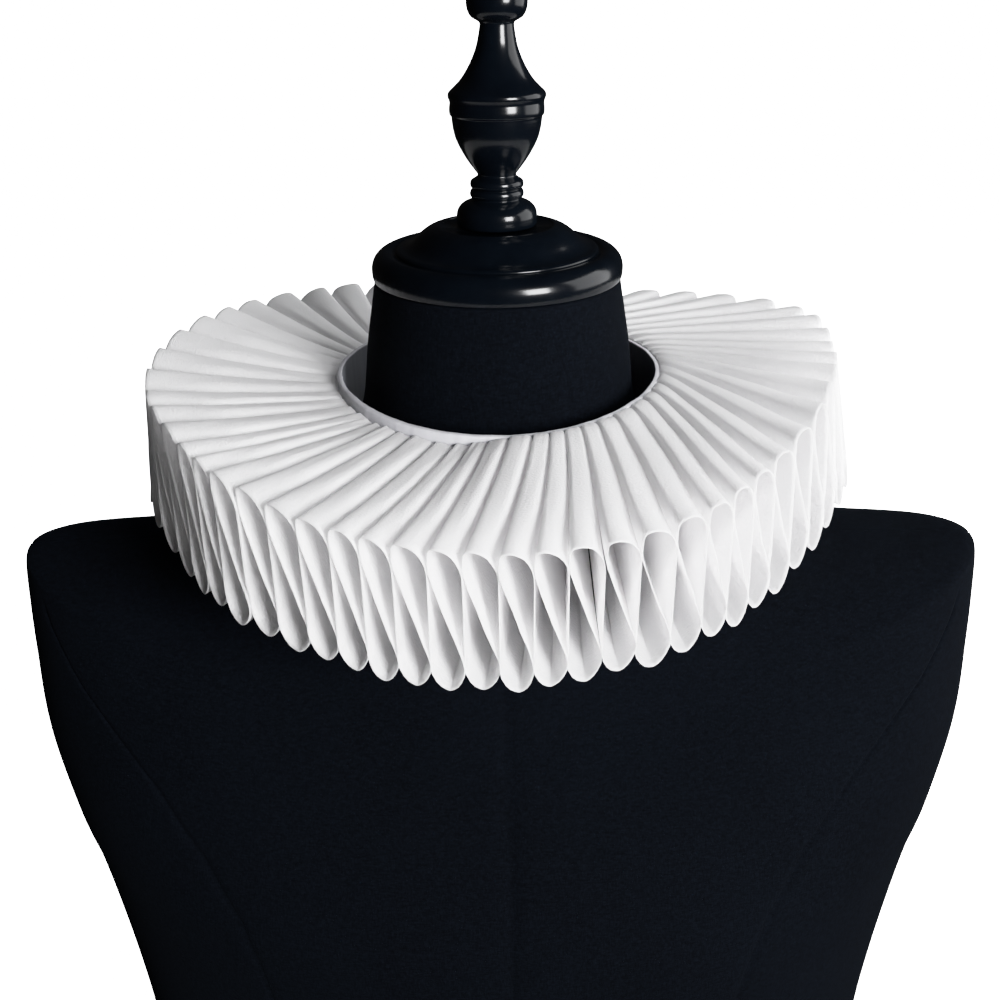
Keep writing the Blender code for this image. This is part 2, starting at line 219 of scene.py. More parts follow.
soften_highlights(bpy.context.scene)
bpy.context.scene.cycles.max_bounces = 26
bpy.context.scene.cycles.diffuse_bounces = 14
bpy.context.scene.cycles.transmission_bounces = 26
print("full tones up to", STRAIGHT_UP_TO, "and white at", WHITEST_LIGHT)

# %% [markdown]
# ## One bench for all pieces
#
# Every piece is made from points and faces, takes one finish, and is hung on the frame in place of its
# solid. One small helper does that part, so each step below is about shape alone.


# %% A helper that hangs a piece on the frame
def hang(name, points, faces, finish, node, slot, maps=None):
    mesh = bpy.data.meshes.new(name)
    built = bmesh.new()
    corners = [built.verts.new(Vector(point) + BAND_TOP) for point in points]
    chart = built.loops.layers.uv.new("ribbon") if maps else None
    for face in faces:
        made = built.faces.new([corners[index] for index in face])
        made.smooth = True
        if chart:
            for loop, index in zip(made.loops, face):
                loop[chart].uv = maps[index]
    if not maps:
        bmesh.ops.recalc_face_normals(built, faces=built.faces)
    built.to_mesh(mesh)
    built.free()
    mesh.materials.append(finish)
    piece = bpy.data.objects.new(name, mesh)
    bpy.context.scene.collection.objects.link(piece)
    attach(piece, "root")
    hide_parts(node)
    print(name, len(mesh.vertices), "points")
    return piece


def polar(radius, angle, height):
    turn = math.radians(angle)
    return Vector((radius * math.sin(turn), -radius * math.cos(turn), height))


def ease(low, high, value):
    share = min(1.0, max(0.0, (value - low) / (high - low)))
    return share * share * (3.0 - 2.0 * share)


# %% [markdown]
# ## Satin
#
# Satin is woven with long floating threads, so it shines in bands and shows a very fine grain across
# them. A picture of satin would be the quick way, but it blurs when you come close. Here the grain is
# grown from noise stretched along the threads, on a map laid along the ribbon in metres, so the thread is
# the right size everywhere. Every finish below is mixed from the same few helpers: stretched noise, a
# noise squeezed between two values, a noise turned into two tints, and a noise that lifts the surface.


# %% Helpers that mix a finish
def stretched_noise(nodes, links, source, scale, detail):
    mapping = nodes.new("ShaderNodeMapping")
    mapping.inputs["Scale"].default_value = scale
    links.new(source, mapping.inputs["Vector"])
    grain = nodes.new("ShaderNodeTexNoise")
    grain.inputs["Scale"].default_value = 1.0
    grain.inputs["Detail"].default_value = detail
    links.new(mapping.outputs["Vector"], grain.inputs["Vector"])
    return grain.outputs["Fac"]


def between(nodes, links, source, low, high, start=0.0, end=1.0):
    spread = nodes.new("ShaderNodeMapRange")
    spread.inputs["From Min"].default_value = start
    spread.inputs["From Max"].default_value = end
    spread.inputs["To Min"].default_value = low
    spread.inputs["To Max"].default_value = high
    links.new(source, spread.inputs["Value"])
    return spread.outputs["Result"]


def tinted(nodes, links, source, dark, light):
    ramp = nodes.new("ShaderNodeValToRGB")
    ramp.color_ramp.elements[0].position = 0.25
    ramp.color_ramp.elements[0].color = (*dark, 1.0)
    ramp.color_ramp.elements[1].position = 0.75
    ramp.color_ramp.elements[1].color = (*light, 1.0)
    links.new(source, ramp.inputs["Fac"])
    return ramp.outputs["Color"]


def bumped(nodes, links, source, strength, distance, before=None):
    bump = nodes.new("ShaderNodeBump")
    bump.inputs["Strength"].default_value = strength
    bump.inputs["Distance"].default_value = distance
    links.new(source, bump.inputs["Height"])
    if before:
        links.new(before, bump.inputs["Normal"])
    return bump.outputs["Normal"]


print("each finish starts from a Principled BSDF")

# %% [markdown]
# ## The white of the ruff
#
# Three noises make this satin: slubs, the slow ripples of the whole ribbon; ribs, the grain you see; and
# threads, the finest, which break the gloss. The gloss is drawn out along the threads, so it has a
# direction, and the tangent node says which. White ribbon also lets light through. More than half of this
# finish is therefore a translucent shader, which is what keeps the inside of the loops bright: without it
# they would look like plaster tubes.


# %% Mix the white satin
THREAD_GRAIN = (900.0, 4200.0, 1.0)
SLUB_GRAIN = (260.0, 40.0, 1.0)
RIB_GRAIN = (720.0, 1500.0, 1.0)
LIGHT_LET_THROUGH = 0.60


def white_satin():
    made, nodes, links = mix_nodes("white_satin")
    shader = nodes["Principled BSDF"]
    chart = nodes.new("ShaderNodeUVMap")
    chart.uv_map = "ribbon"
    threads = stretched_noise(nodes, links, chart.outputs["UV"], THREAD_GRAIN, 2.0)
    slubs = stretched_noise(nodes, links, chart.outputs["UV"], SLUB_GRAIN, 3.0)
    ribs = stretched_noise(nodes, links, chart.outputs["UV"], RIB_GRAIN, 2.0)
    white = tinted(nodes, links, ribs, (0.940, 0.938, 0.950), (0.995, 0.995, 0.997))
    links.new(white, shader.inputs["Base Color"])
    links.new(between(nodes, links, threads, 0.26, 0.44), shader.inputs["Roughness"])
    shader.inputs["IOR"].default_value = 1.65
    shader.inputs["Specular IOR Level"].default_value = 1.0
    shader.inputs["Anisotropic"].default_value = 0.7
    shader.inputs["Anisotropic Rotation"].default_value = 0.25
    lengthways = nodes.new("ShaderNodeTangent")
    lengthways.direction_type = "UV_MAP"
    lengthways.uv_map = "ribbon"
    links.new(lengthways.outputs["Tangent"], shader.inputs["Tangent"])
    ripple = bumped(nodes, links, slubs, 0.40, 0.0004)
    ribbed = bumped(nodes, links, ribs, 1.0, 0.00036, ripple)
    woven = bumped(nodes, links, threads, 0.22, 0.00008, ribbed)
    links.new(woven, shader.inputs["Normal"])
    glow = nodes.new("ShaderNodeBsdfTranslucent")
    links.new(woven, glow.inputs["Normal"])
    glow.inputs["Color"].default_value = (0.995, 0.992, 0.992, 1.0)
    through = nodes.new("ShaderNodeMixShader")
    through.inputs["Fac"].default_value = LIGHT_LET_THROUGH
    links.new(shader.outputs["BSDF"], through.inputs[1])
    links.new(glow.outputs["BSDF"], through.inputs[2])
    links.new(through.outputs["Shader"], nodes["Material Output"].inputs["Surface"])
    return made


satin = white_satin()
print("satin mixed with", len(satin.node_tree.nodes), "nodes")

# %% [markdown]
# ## The frill: where each pleat stands
#
# The strip goes round the neck in 52 pleats. No two are quite alike, because fingers set them, so every
# pleat has its own angle at the foot, its own length there, and its own angle at the top. The rim is not
# a true circle either: it dips in front, where the collar lies on the chest, and rises over the
# shoulders. And the pleats do not run straight out from the neck: a collar twists as it is pulled round
# to be hooked, so their inner ends are turned, most of all on one side. All three are short tables,
# easier to adjust than a formula, and a smooth curve is run through their rows.

# %% Set out the rim and the pleats
RIM = (  # angle, radius and height at the top of the pleats, radius and height at their foot
    (-180.0, 0.1390, 0.0020, 0.1375, -0.0530), (-150.0, 0.1392, 0.0040, 0.1390, -0.0520),
    (-125.0, 0.1400, 0.0075, 0.1430, -0.0500), (-105.0, 0.1410, 0.0100, 0.1480, -0.0490),
    (-85.0, 0.1428, 0.0085, 0.1505, -0.0490), (-72.0, 0.1432, 0.0052, 0.1470, -0.0505),
    (-60.0, 0.1415, 0.0028, 0.1415, -0.0582), (-45.0, 0.1405, -0.0030, 0.1400, -0.0620),
    (-25.0, 0.1405, -0.0100, 0.1395, -0.0637), (0.0, 0.1405, -0.0148, 0.1395, -0.0677),
    (25.0, 0.1400, -0.0110, 0.1395, -0.0637), (45.0, 0.1370, -0.0020, 0.1397, -0.0572),
    (60.0, 0.1360, 0.0045, 0.1410, -0.0510), (72.0, 0.1362, 0.0065, 0.1450, -0.0455),
    (85.0, 0.1385, 0.0095, 0.1490, -0.0415), (100.0, 0.1420, 0.0125, 0.1480, -0.0420),
    (115.0, 0.1420, 0.0092, 0.1440, -0.0450), (130.0, 0.1405, 0.0045, 0.1405, -0.0480),
    (150.0, 0.1390, -0.0005, 0.1385, -0.0520),
)
PLEATS = (  # angle of the foot, millimetres it hangs lower, angle of the top
    (-175.0, 0.0, -174.0), (-165.8, 0.5, -163.9), (-156.4, -0.4, -154.0), (-147.4, 0.3, -144.3),
    (-139.4, -0.3, -138.1), (-130.4, 0.4, -128.3), (-122.2, 0.0, -120.3), (-114.5, -0.5, -113.0),
    (-106.4, 0.4, -105.3), (-97.2, 0.0, -95.4), (-88.2, 0.3, -86.0), (-79.6, -0.4, -77.7),
    (-72.0, 0.5, -69.9), (-65.5, 0.3, -65.2), (-59.2, 0.6, -57.4), (-53.4, 0.3, -51.7),
    (-48.5, -1.2, -48.0), (-42.7, 0.5, -42.7), (-37.0, -0.4, -37.0), (-31.1, 0.6, -31.1),
    (-25.9, -0.4, -25.9), (-21.0, 0.2, -21.0), (-16.8, 1.3, -16.8), (-12.1, 0.6, -12.1),
    (-7.4, 0.6, -7.4), (-2.7, -0.4, -2.7), (2.2, 0.1, 2.2), (6.6, -1.0, 6.6),
    (11.6, -0.4, 11.6), (16.4, -2.2, 16.4), (21.7, 0.6, 21.7), (27.4, 0.0, 27.4),
    (32.3, -1.4, 32.3), (36.9, 0.4, 36.9), (41.5, -1.6, 41.5), (47.2, 0.5, 47.2),
    (53.6, -1.2, 54.0), (60.0, 0.6, 62.2), (66.0, 0.3, 71.4), (72.0, -0.4, 78.8),
    (78.0, 0.5, 83.8), (84.0, 0.0, 88.2), (90.5, -0.4, 94.0), (98.0, 0.4, 101.2),
    (106.5, -0.3, 108.6), (116.5, 0.3, 119.5), (127.0, 0.0, 129.8), (137.5, 0.4, 138.8),
    (147.2, 0.3, 147.4), (156.3, 0.0, 156.3), (165.6, 0.4, 165.6), (175.3, 0.0, 175.3),
)
SWIRL = (  # angle at the rim, how far the inner end is turned there
    (-180.0, 0.0), (-165.0, 8.0), (-150.0, 14.0), (-135.0, 13.0), (-120.0, 8.5), (-105.0, 4.5),
    (-90.0, 3.0), (-72.0, 2.2), (-55.0, 2.0), (-40.0, 0.5), (-28.0, 0.5), (-20.0, 5.0),
    (-8.0, 7.0), (0.0, 11.0), (12.0, 12.5), (24.0, 15.5), (36.0, 23.0), (48.0, 28.5),
    (60.0, 31.0), (72.0, 28.0), (80.0, 26.0), (88.0, 26.4), (96.0, 26.6), (108.0, 24.0),
    (125.0, 18.5), (140.0, 14.0), (155.0, 9.5), (168.0, 4.5),
)
BACK_GAP = 0.30


def curve_through(before, start, end, after, share):
    square, cube = share * share, share * share * share
    return (
        (2.0 * cube - 3.0 * square + 1.0) * start
        + (cube - 2.0 * square + share) * before
        + (3.0 * square - 2.0 * cube) * end
        + (cube - square) * after
    )


def around(table, angle, column):
    count = len(table)
    turned = (angle + 180.0) % 360.0 - 180.0
    place = max(index for index in range(count) if table[index][0] <= turned)
    rows = []
    for index in range(place - 1, place + 3):
        row = table[index % count]
        rows.append((row[0] + 360.0 * (index // count), row[column]))
    width = rows[2][0] - rows[1][0]
    leaving = (rows[2][1] - rows[0][1]) / (rows[2][0] - rows[0][0]) * width
    arriving = (rows[3][1] - rows[1][1]) / (rows[3][0] - rows[1][0]) * width
    return curve_through(leaving, rows[1][1], rows[2][1], arriving, (turned - rows[1][0]) / width)


def curve_among(near, share):
    place = []
    for before, start, end, after in zip(*near):
        place.append(curve_through((end - before) / 2.0, start, end, (after - start) / 2.0, share))
    return tuple(place)


def borders_of(middles):
    return [-180.0 + BACK_GAP, *[(a + b) / 2.0 for a, b in zip(middles, middles[1:])], 180.0 - BACK_GAP]


foot_borders = borders_of([foot for foot, drop, top in PLEATS])
top_borders = borders_of([top for foot, drop, top in PLEATS])
print(len(PLEATS), "pleats, about", round(360.0 / len(PLEATS), 1), "degrees each")

# %% [markdown]
# ## The frill: one fold
#
# Seen from outside, one pleat is half of a figure eight: a round loop below, a slanting strand, a round
# loop above and a strand that falls nearly straight to the next pleat. It could be drawn as a Bezier
# curve and swept, but the fold changes on its way to the neck, so it is kept as lists of places in units
# of one pleat, sideways and up, and a smooth curve is run through them. The lower loop is one list. The
# upper one has three: at the rim, halfway in where it is pressed flat, and halfway in on the wearer's
# right, where it stays round and its crest lies nearer the front. Neighbouring loops nearly touch, as
# they do when a real ruff is tied tight.

# %% Draw one fold
LOWER_LOOP = (  # to the side, up
    (-0.506, 0.235), (-0.500, 0.125), (-0.310, 0.035), (-0.100, 0.004), (0.000, 0.000), (0.050, 0.000),
    (0.160, 0.008), (0.345, 0.047), (0.491, 0.130), (0.440, 0.225), (0.170, 0.395), (-0.190, 0.635),
)
LOOP_AT_RIM = (
    (-0.470, 0.830), (-0.492, 0.900), (-0.480, 0.962), (-0.430, 0.992), (-0.320, 1.002), (-0.120, 1.000),
    (0.090, 0.982), (0.290, 0.942), (0.458, 0.865), (0.490, 0.770), (0.492, 0.600), (0.493, 0.420),
)
LOOP_HALFWAY_FLAT = (
    (-0.470, 0.820), (-0.490, 0.890), (-0.487, 0.950), (-0.470, 0.985), (-0.410, 0.998), (-0.220, 0.994),
    (0.030, 0.980), (0.260, 0.958), (0.430, 0.925), (0.486, 0.860), (0.488, 0.700), (0.488, 0.450),
)
LOOP_HALFWAY_ROUND = (
    (-0.466, 0.800), (-0.490, 0.870), (-0.488, 0.925), (-0.464, 0.964), (-0.400, 0.983), (-0.270, 0.990),
    (-0.090, 0.998), (0.100, 1.003), (0.260, 0.985), (0.395, 0.925), (0.472, 0.820), (0.488, 0.450),
)
STEPS_A_FOLD = 40


def places_on(fold):
    made = []
    count = len(fold)
    for step in range(STEPS_A_FOLD):
        place = count * step / STEPS_A_FOLD
        first = math.floor(place)
        near = []
        for index in range(first - 1, first + 3):
            side, height = fold[index % count]
            near.append((side + index // count, height))
        made.append(curve_among(near, place - first))
    return made


fold_at_rim = places_on(LOWER_LOOP + LOOP_AT_RIM)
fold_halfway_flat = places_on(LOWER_LOOP + LOOP_HALFWAY_FLAT)
fold_halfway_round = places_on(LOWER_LOOP + LOOP_HALFWAY_ROUND)
print("one fold has", len(fold_at_rim), "places, sideways from", round(min(x for x, y in fold_at_rim), 2))

# %% [markdown]
# ## The frill: from the neckband to the rim
#
# Each place of the fold is carried from the neckband out to the rim. Two ends are worked out for it: a
# sewn end, where the loops are pressed flat against the band with crisp corners, and a free end on the
# rim. On the wearer's right the pressed ends stand a little below the band's edge in small steps. On the
# other side they melt into the edge and start as fine creases. Where a loop leaves the band it goes
# straight out at first and then turns to its place on the rim, as ribbon that is pulled sideways does.

# %% Find both ends of a pleat
BAND_OUTSIDE = 0.06815
SEWN_BELOW_EDGE = 0.0034
MELTS_UP_BY = 0.0036
SEWN_DEPTH = 0.0330
FRONT_DIP = 0.0049


def band_drop(angle):
    forward = max(0.0, math.cos(math.radians(angle)))
    return -FRONT_DIP * forward * forward


def hand_set(number, seed, amount):
    return amount * noise.noise(Vector((number * 1.37 + 0.31, seed, 0.5)))


def melting_at(angle):
    return ease(-14.0, 6.0, angle) * (1.0 - ease(150.0, 178.0, angle))


def above_middle(height):
    return ease(0.62, 0.80, height)


def turned_to(number, side, height):
    foot, drop, top = PLEATS[number]

    def meeting(edge):
        width = top_borders[min(edge, len(PLEATS) - 1)] - top_borders[max(0, edge - 1)]
        lean = 0.0 if edge in (0, len(PLEATS)) else hand_set(edge, 3.1, 0.05)
        straight = foot_borders[edge] + (top_borders[edge] - foot_borders[edge]) * height
        return straight + lean * width * (height - 0.5)

    middle = foot + (top - foot) * height + hand_set(number, 7.7, 0.15) * (height - 0.2)
    reach = middle - meeting(number) if side < 0.0 else meeting(number + 1) - middle
    return middle + 2.0 * side * reach


def rim_end(number, side, height):
    angle = turned_to(number, side, height)
    drop = PLEATS[number][1] / 1000.0
    top = around(RIM, angle, 2)
    bottom = around(RIM, angle, 4) - drop
    radius = around(RIM, angle, 3) * (1.0 - height) + around(RIM, angle, 1) * height
    radius += hand_set(number, 1.3, 0.0010)
    return polar(radius, angle, bottom + (top - bottom) * height)


def sewn_angle(number, side):
    angle = turned_to(number, side * 0.995, 0.75)
    return angle + around(SWIRL, angle, 1)


def sewn_end(number, side, height, out):
    angle = sewn_angle(number, side)
    standing = 1.0 - melting_at(angle)
    pressed = height
    if height > 0.5:
        pressed = 1.0 - (1.0 - height) * (0.30 + 0.70 * ease(0.0, 0.5, 1.0 - height))
    share = pressed + (height - pressed) * ease(0.0, 0.30, out)
    high = band_drop(angle) - SEWN_BELOW_EDGE + MELTS_UP_BY * melting_at(angle)
    step_down = -0.0016 * (side + 0.25) + hand_set(number, 4.1, 0.0008)
    high += standing * above_middle(height) * step_down
    low = band_drop(angle) - SEWN_DEPTH
    set_back = above_middle(height) * standing * (0.0005 + hand_set(number, 5.9, 0.0006))
    return polar(BAND_OUTSIDE + set_back, angle, low + (high - low) * share)


print("the pleats are sewn on", round(1000.0 * SEWN_DEPTH, 1), "mm deep")

# %% [markdown]
# ## The frill: one place on it
#
# Now the two ends are joined. Three small things make it cloth and not tubing: a strand bows sideways
# between its ends, the cloth swells just outside the band where it is let go, and a crease runs in from
# each lower loop, where the ribbon was folded first. They are moved here, and not left to a cloth
# simulation, because a ruff is set with hot irons into just this form.

# %% Carry a fold from the band to the rim
LEAVES_STRAIGHT = 0.22
SWELLS_BY = 0.0016
CREASE_DEPTH = 0.0020


def fold_on_the_way(number, step, out):
    near_rim = ease(0.60, 1.0, out)
    rounded = 1.0 - ease(-14.0, 26.0, PLEATS[number][2])
    folds = zip(fold_halfway_flat[step], fold_halfway_round[step], fold_at_rim[step])
    return (
        (flat * (1.0 - rounded) + round_top * rounded) * (1.0 - near_rim) + at_rim * near_rim
        for flat, round_top, at_rim in folds
    )


def place_on_frill(number, step, out):
    side, height = fold_on_the_way(number, step, out)
    rim = rim_end(number, side, height)
    inner = sewn_end(number, side, height, out)
    inner_angle = sewn_angle(number, side)
    outward = polar(1.0, inner_angle, 0.0)
    reach = Vector((rim.x - inner.x, rim.y - inner.y, 0.0))
    turn_away = outward * reach.length - reach
    place = inner.lerp(rim, out) + turn_away * LEAVES_STRAIGHT * out * (1.0 - out) ** 2
    swelling = (1.0 - math.exp(-out / 0.05)) * (1.0 - out) ** 2
    place.z += SWELLS_BY * melting_at(inner_angle) * above_middle(height) * swelling
    bow = (0.0006 + hand_set(number, 8.3, 0.0014)) * ease(0.95, 0.60, height)
    sideways = polar(1.0, turned_to(number, side, height) + 90.0, 0.0)
    place -= sideways * bow * math.sin(math.pi * out)
    if height < 0.2:
        crease = math.exp(-abs(side - 0.025) / 0.10) * ease(0.2, 0.02, height)
        place.z -= CREASE_DEPTH * crease * (1.0 - 0.90 * ease(0.80, 1.0, out))
    return place


halfway = place_on_frill(len(PLEATS) // 2, 0, 0.5)
print("halfway out, the foot of a front pleat is", round(-1000.0 * halfway.z), "mm below the band's edge")

# %% [markdown]
# ## The frill: the whole strip
#
# All the places together are one grid, column after column along the strip, with rows from the band to
# the rim that lie closer where the cloth bends most. Long soft noise moves it a little across its face,
# which is the slight wavering that hands leave. The length of the rim is added up on the way: it is how
# long a ribbon you would have to buy. The Solidify modifier then gives the sheet its thickness.

# %% Build the frill
ROWS = (
    0.0, 0.006, 0.014, 0.03, 0.055, 0.09, 0.135, 0.19, 0.26, 0.34,
    0.43, 0.52, 0.61, 0.70, 0.78, 0.85, 0.91, 0.955, 0.982, 1.0,
)
RIBBON_WIDTH = 0.075
RIBBON_THICKNESS = 0.00028
OPEN_AT_THE_BACK = 2


def frill_columns():
    last = len(PLEATS) - 1
    for number in range(len(PLEATS)):
        for step in range(STEPS_A_FOLD):
            if number == 0 and step < OPEN_AT_THE_BACK:
                continue
            if number == last and step >= STEPS_A_FOLD - OPEN_AT_THE_BACK:
                continue
            yield number, step


def wavering(run, out):
    wander = noise.noise(Vector((run * 130.0, out * 2.2, 3.7)))
    fine = noise.noise(Vector((run * 290.0, out * 2.6, 9.1)))
    return 0.00034 * wander * (0.4 + 0.6 * out) + 0.00026 * fine * (1.0 - 0.55 * out)


def build_frill():
    columns = list(frill_columns())
    grid = [[place_on_frill(number, step, out) for out in ROWS] for number, step in columns]
    run = [0.0]
    for before, after in zip(grid, grid[1:]):
        run.append(run[-1] + (after[-1] - before[-1]).length)
    points, maps, faces = [], [], []
    last = len(grid) - 1
    size = len(ROWS)
    for index, column in enumerate(grid):
        ahead, behind = grid[min(last, index + 1)], grid[max(0, index - 1)]
        # Walls that touch their neighbours are held still, the free ones waver.
        free = 1.0 - 0.8 * ease(0.38, 0.46, abs(fold_halfway_flat[columns[index][1]][0]))
        for row, out in enumerate(ROWS):
            along = ahead[row] - behind[row]
            outward = column[min(size - 1, row + 1)] - column[max(0, row - 1)]
            across = along.cross(outward).normalized()
            points.append(column[row] + across * wavering(run[index], out) * free)
            maps.append((run[index], out * RIBBON_WIDTH))
    for index in range(last):
        for row in range(size - 1):
            first = index * size + row
            faces.append((first, first + 1, first + size + 1, first + size))
    return points, faces, maps, run[-1]


points, faces, maps, frill_length = build_frill()
frill = hang("frill_satin", points, faces, satin, "frill", "white_satin", maps)
shell = frill.modifiers.new("ribbon_thickness", "SOLIDIFY")
shell.thickness = RIBBON_THICKNESS
shell.offset = 0.0
print("the ribbon is", round(frill_length, 2), "m long before it is pleated")

# %% [markdown]
# ## The neckband
#
# The band is a strip of the same satin, folded along its length, so its upper edge is a crisp fold and
# its faces are flat. Its colour holds painted shade: the fold and the outer face are painted a grey about
# half as light as the frill, and the face that lies against the neck a darker grey, for the deep shade
# between band and neck. The pleats pull at the band where they are sewn on, and the edge wavers. A swept
# curve would give too perfect a ring, so the ring is made from a section with one crisp corner, and each
# point is moved by a little noise. The map runs round the section in metres, so one ramp can tell the
# painted shade of the inner face from that of the outer face.

# %% Make the neckband
BAND_INSIDE = 0.0660
BAND_THICKNESS = 0.0020
BAND_DEPTH = 0.0320
CRISP_CORNER = 0.0003
SOFT_CORNER = 0.0008
# where the painted shade of the inner face ends, in metres round the section
PAINTED_INNER_SHADE_ENDS = 0.0306
BAND_STEPS = 420


def band_section():
    wide, deep, crisp, soft = BAND_THICKNESS, BAND_DEPTH, CRISP_CORNER, SOFT_CORNER
    inner_face = [(0.0, -deep + soft), (0.0, -deep * 0.75), (0.0, -deep * 0.5), (0.0, -deep * 0.25)]
    inner_face += [(0.0, -0.003), (0.0, -0.0012), (0.0, -crisp)]
    edge = [(crisp * 0.3, -crisp * 0.3), (crisp, 0.0), (wide * 0.4, -0.0001)]
    for turn in (1.4, 0.9, 0.4):
        edge.append((wide - soft * (1.0 - math.cos(turn)), -0.0001 - soft * (1.0 - math.sin(turn))))
    outer_face = [(wide, -0.0010), (wide, -deep * 0.25), (wide, -deep * 0.5), (wide, -deep * 0.75)]
    outer_face += [(wide, -deep + soft), (wide - 0.0005, -deep), (0.0005, -deep)]
    return inner_face + edge + outer_face


def build_band(steps):
    section = band_section()
    size = len(section)
    round_it = [0.0]
    for before, after in zip(section, section[1:]):
        round_it.append(round_it[-1] + math.dist(before, after))
    points, maps, faces = [], [], []
    for step in range(steps + 1):
        angle = -180.0 + BACK_GAP + (360.0 - 2.0 * BACK_GAP) * step / steps
        for index, (inward, height) in enumerate(section):
            near_edge = math.exp(height / 0.004)
            pucker = 0.00022 * noise.noise(Vector((angle * 0.45, height * 90.0, 4.0)))
            lift = 0.00035 * noise.noise(Vector((angle * 0.11, height * 60.0, 1.0))) * near_edge
            radius = BAND_INSIDE + inward - 0.0001 + pucker * (1.0 - 0.5 * near_edge)
            points.append(polar(radius, angle, height + lift + band_drop(angle)))
            maps.append((math.radians(angle) * BAND_INSIDE, round_it[index]))
    for step in range(steps):
        for index in range(size):
            ahead = (index + 1) % size
            first = step * size
            faces.append((first + index, first + size + index, first + size + ahead, first + ahead))
    faces.append(tuple(range(size)))
    faces.append(tuple(reversed(range(steps * size, steps * size + size))))
    return points, faces, maps


def satin_with_painted_shade():
    made, nodes, links = mix_nodes("neckband_satin")
    shader = nodes["Principled BSDF"]
    chart = nodes.new("ShaderNodeUVMap")
    chart.uv_map = "ribbon"
    split = nodes.new("ShaderNodeSeparateXYZ")
    links.new(chart.outputs["UV"], split.inputs["Vector"])
    change = (PAINTED_INNER_SHADE_ENDS - 0.0002, PAINTED_INNER_SHADE_ENDS + 0.0002)
    past_inner_face = between(nodes, links, split.outputs["Y"], 0.0, 1.0, *change)
    slubs = stretched_noise(nodes, links, chart.outputs["UV"], SLUB_GRAIN, 3.0)
    threads = stretched_noise(nodes, links, chart.outputs["UV"], THREAD_GRAIN, 2.0)
    # painted shade: dark grey on the inner face for the shade of the neck, mid grey on the outer face
    painted_inner_shade = tinted(nodes, links, slubs, (0.215, 0.225, 0.250), (0.265, 0.278, 0.305))
    painted_outer_shade = tinted(nodes, links, slubs, (0.46, 0.46, 0.49), (0.54, 0.54, 0.57))
    pick = nodes.new("ShaderNodeMixRGB")
    links.new(past_inner_face, pick.inputs["Fac"])
    links.new(painted_inner_shade, pick.inputs["Color1"])
    links.new(painted_outer_shade, pick.inputs["Color2"])
    links.new(pick.outputs["Color"], shader.inputs["Base Color"])
    links.new(between(nodes, links, threads, 0.36, 0.52), shader.inputs["Roughness"])
    shader.inputs["Specular IOR Level"].default_value = 0.5
    links.new(bumped(nodes, links, threads, 0.22, 0.00008), shader.inputs["Normal"])
    return made


band_points, band_faces, band_maps = build_band(BAND_STEPS)
band = hang("neckband_satin", band_points, band_faces, satin_with_painted_shade(), "neckband", "white_satin", band_maps)
print("neckband", round(2.0 * math.pi * BAND_INSIDE, 3), "m round inside")

# %% [markdown]
# ## Hook and eye
#
# The collar closes at the centre back with one small wire hook and its eye, sewn to the inside of the
# band. Wire is what Blender's curves are made for: a smooth path with a round bevel keeps its thickness
# in every bend, which a hand-made tube does not.

# %% Bend the hook and the eye
WIRE_RADIUS = 0.00045
HOOK_BELOW_EDGE = 0.0150
EYE_WIRE = (  # to the side, up, in from the band
    (0.0070, 0.0017, 0.0012), (0.0050, 0.0018, 0.0011), (0.0025, 0.0018, 0.0011),
    (0.0010, 0.0017, 0.0011), (-0.0001, 0.0014, 0.0011), (-0.0009, 0.0008, 0.0011),
    (-0.0012, 0.0000, 0.0011), (-0.0009, -0.0008, 0.0011), (-0.0001, -0.0014, 0.0011),
    (0.0010, -0.0017, 0.0011), (0.0025, -0.0018, 0.0011), (0.0050, -0.0018, 0.0011),
    (0.0070, -0.0017, 0.0012),
)
HOOK_WIRE = (
    (-0.0080, 0.0000, 0.0012), (-0.0062, 0.0000, 0.0012), (-0.0044, 0.0000, 0.0014),
    (-0.0030, 0.0000, 0.0021), (-0.0014, 0.0000, 0.0025), (0.0000, 0.0000, 0.0025),
    (0.0010, 0.0000, 0.0021), (0.0013, 0.0000, 0.0015), (0.0010, 0.0000, 0.0009),
    (0.0003, 0.0000, 0.0008),
)


def steel():
    made, nodes, links = mix_nodes("fastening_steel")
    shader = nodes["Principled BSDF"]
    where = nodes.new("ShaderNodeTexCoord")
    scratches = stretched_noise(nodes, links, where.outputs["Object"], (900.0, 900.0, 900.0), 3.0)
    shader.inputs["Metallic"].default_value = 1.0
    grey = tinted(nodes, links, scratches, (0.52, 0.52, 0.53), (0.66, 0.66, 0.68))
    links.new(grey, shader.inputs["Base Color"])
    links.new(between(nodes, links, scratches, 0.22, 0.42), shader.inputs["Roughness"])
    return made


def bent_wire(name, path, finish, node):
    curve = bpy.data.curves.new(name, "CURVE")
    curve.dimensions = "3D"
    curve.bevel_depth = WIRE_RADIUS
    curve.bevel_resolution = 4
    curve.use_fill_caps = True
    curve.resolution_u = 6
    line = curve.splines.new("BEZIER")
    line.bezier_points.add(len(path) - 1)
    for point, (side, lift, inward) in zip(line.bezier_points, path):
        radius = BAND_INSIDE - inward
        place = Vector((side, math.sqrt(radius * radius - side * side), -HOOK_BELOW_EDGE + lift))
        point.co = place + BAND_TOP
        point.handle_left_type = point.handle_right_type = "AUTO"
    curve.materials.append(finish)
    wire = bpy.data.objects.new(name, curve)
    bpy.context.scene.collection.objects.link(wire)
    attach(wire, "root")
    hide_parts(node)


fastening = steel()
bent_wire("hook_wire", HOOK_WIRE, fastening, "hook")
bent_wire("eye_wire", EYE_WIRE, fastening, "eye")
print("hook and eye bent from wire", round(2000.0 * WIRE_RADIUS, 1), "mm thick")

# %% [markdown]
# ## The cover of the form
#
# The form is covered with a fine black cotton that lies quite flat. Black cloth is never black in light:
# it is a very dark blue grey, with a weave that breaks the light into specks and a faint bloom of fibres.
# Two sets of fine waves crossed at right angles give the weave. The cloth hardly shines, so the shine of
# the shader is turned well down.


